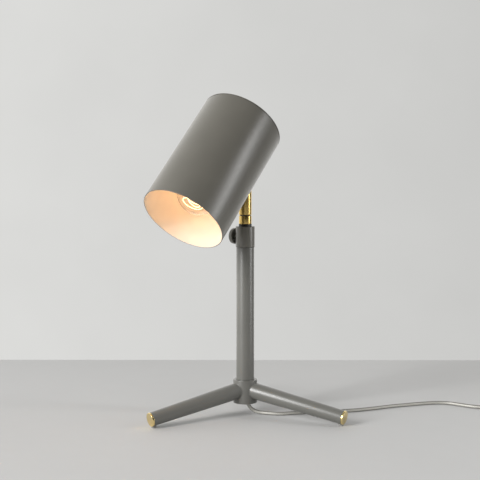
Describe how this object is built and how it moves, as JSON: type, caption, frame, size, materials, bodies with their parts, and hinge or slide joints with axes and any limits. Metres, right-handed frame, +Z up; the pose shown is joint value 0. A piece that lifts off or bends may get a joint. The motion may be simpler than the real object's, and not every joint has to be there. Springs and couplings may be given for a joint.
{
  "type": "task table lamp",
  "caption": "Tripod table lamp with a sliding mast, a swivel neck and a tilting cylinder shade round a bare bulb.",
  "frame": {"origin": "on the stem's axis, on the surface the lamp stands on; the middle of the lamp's box there, to 3 mm, without its cord", "axes": "+Z up along the stem, +Y towards the back leg, +X to the right of someone facing the front, where the cord leaves"},
  "size_m": [0.6264, 0.3039, 0.4532],
  "materials": {
    "grey_paint": "satin warm grey powder coat, the shade white inside",
    "brass": "polished, lacquered",
    "black_plastic": "moulded nylon",
    "clear_plastic": "translucent moulded",
    "steel": "zinc plated",
    "rubber": "matt",
    "porcelain": "glazed",
    "bulb_glass": "clear",
    "filament": "glowing wire",
    "clear_cord": "clear jacket over silver braid"
  },
  "bodies": {
    "stand": {"hub": "grey_paint", "hub_cover": "black_plastic", "cover_screw_front": "steel", "cover_screw_rear": "steel", "cord_strain_relief": "clear_cord", "leg_left": "grey_paint", "leg_right": "grey_paint", "leg_back": "grey_paint", "leg_cap_left": "brass", "leg_cap_right": "brass", "leg_cap_back": "brass", "foot_pad_left": "rubber", "foot_pad_right": "rubber", "foot_pad_back": "rubber", "stem_tube": "grey_paint", "stem_lead": "clear_cord", "clamp_collar": "grey_paint", "guide_bushing": "black_plastic", "power_cord": "clear_cord", "cord_switch_to_coil": "clear_cord", "cord_coil": "clear_cord", "cord_coil_to_plug": "clear_cord", "switch_base": "clear_plastic", "switch_cover": "clear_plastic", "plug_body": "clear_plastic", "plug_blade_left": "brass", "plug_blade_right": "brass"},
    "clamp_screw": {"thumb_screw_shank": "steel"},
    "clamp_knob": {"thumb_screw_knob": "grey_paint"},
    "mast": {"mast_tube": "brass", "mast_stop": "black_plastic", "mast_coupler": "brass", "swivel_washer": "black_plastic", "mast_lead": "clear_cord"},
    "neck": {"neck_knuckle": "brass", "swivel_stud": "steel", "pivot_screw": "brass", "pivot_washer_left": "black_plastic", "pivot_washer_right": "black_plastic"},
    "head": {"shade_knuckle": "brass", "shade": "grey_paint", "socket_bracket": "steel", "knuckle_washer": "steel", "knuckle_nut": "steel", "lampholder_body": "porcelain", "lampholder_shell": "brass", "lampholder_contact": "brass", "bracket_screw": "steel", "lampholder_lead": "clear_cord", "bulb_glass": "bulb_glass", "bulb_cap": "brass", "bulb_insulator": "black_plastic", "bulb_contact": "brass", "bulb_mount": "bulb_glass", "bulb_lead_front": "steel", "bulb_lead_rear": "steel", "bulb_filament": "filament"},
    "switch_rocker": {"switch_rocker": "clear_plastic"}
  },
  "joints": [
    {"name": "mast_height", "type": "slide", "parent": "stand", "child": "mast", "axis": [0, 0, 1], "range_m": [0, 0.1]},
    {"name": "neck_swivel", "type": "hinge", "parent": "mast", "child": "neck", "pos_m": [0, 0, 0.285], "axis": [0, 0, 1], "range_deg": [-170, 170]},
    {"name": "shade_tilt", "type": "hinge", "parent": "neck", "child": "head", "pos_m": [0, 0, 0.3183], "axis": [0.7702, -0.6378, 0], "range_deg": [-51, 36]},
    {"name": "clamp_screw_travel", "type": "slide", "parent": "stand", "child": "clamp_screw", "axis": [-0.7431, 0.6691, 0], "range_m": [0, 0.0008]},
    {"name": "clamp_knob_turn", "type": "hinge", "parent": "clamp_screw", "child": "clamp_knob", "pos_m": [0, 0, 0.2548], "axis": [-0.7431, 0.6691, 0], "range_deg": [0, 360]},
    {"name": "rocker_tilt", "type": "hinge", "parent": "stand", "child": "switch_rocker", "pos_m": [0.3984, 0.0236, 0.0105], "axis": [0.1736, 0.9848, 0], "range_deg": [-16, 0]}
  ],
  "couplings": [
    {"joint": "clamp_knob_turn", "follows": "clamp_screw_travel", "rad_per_m": 7853.9}
  ]
}
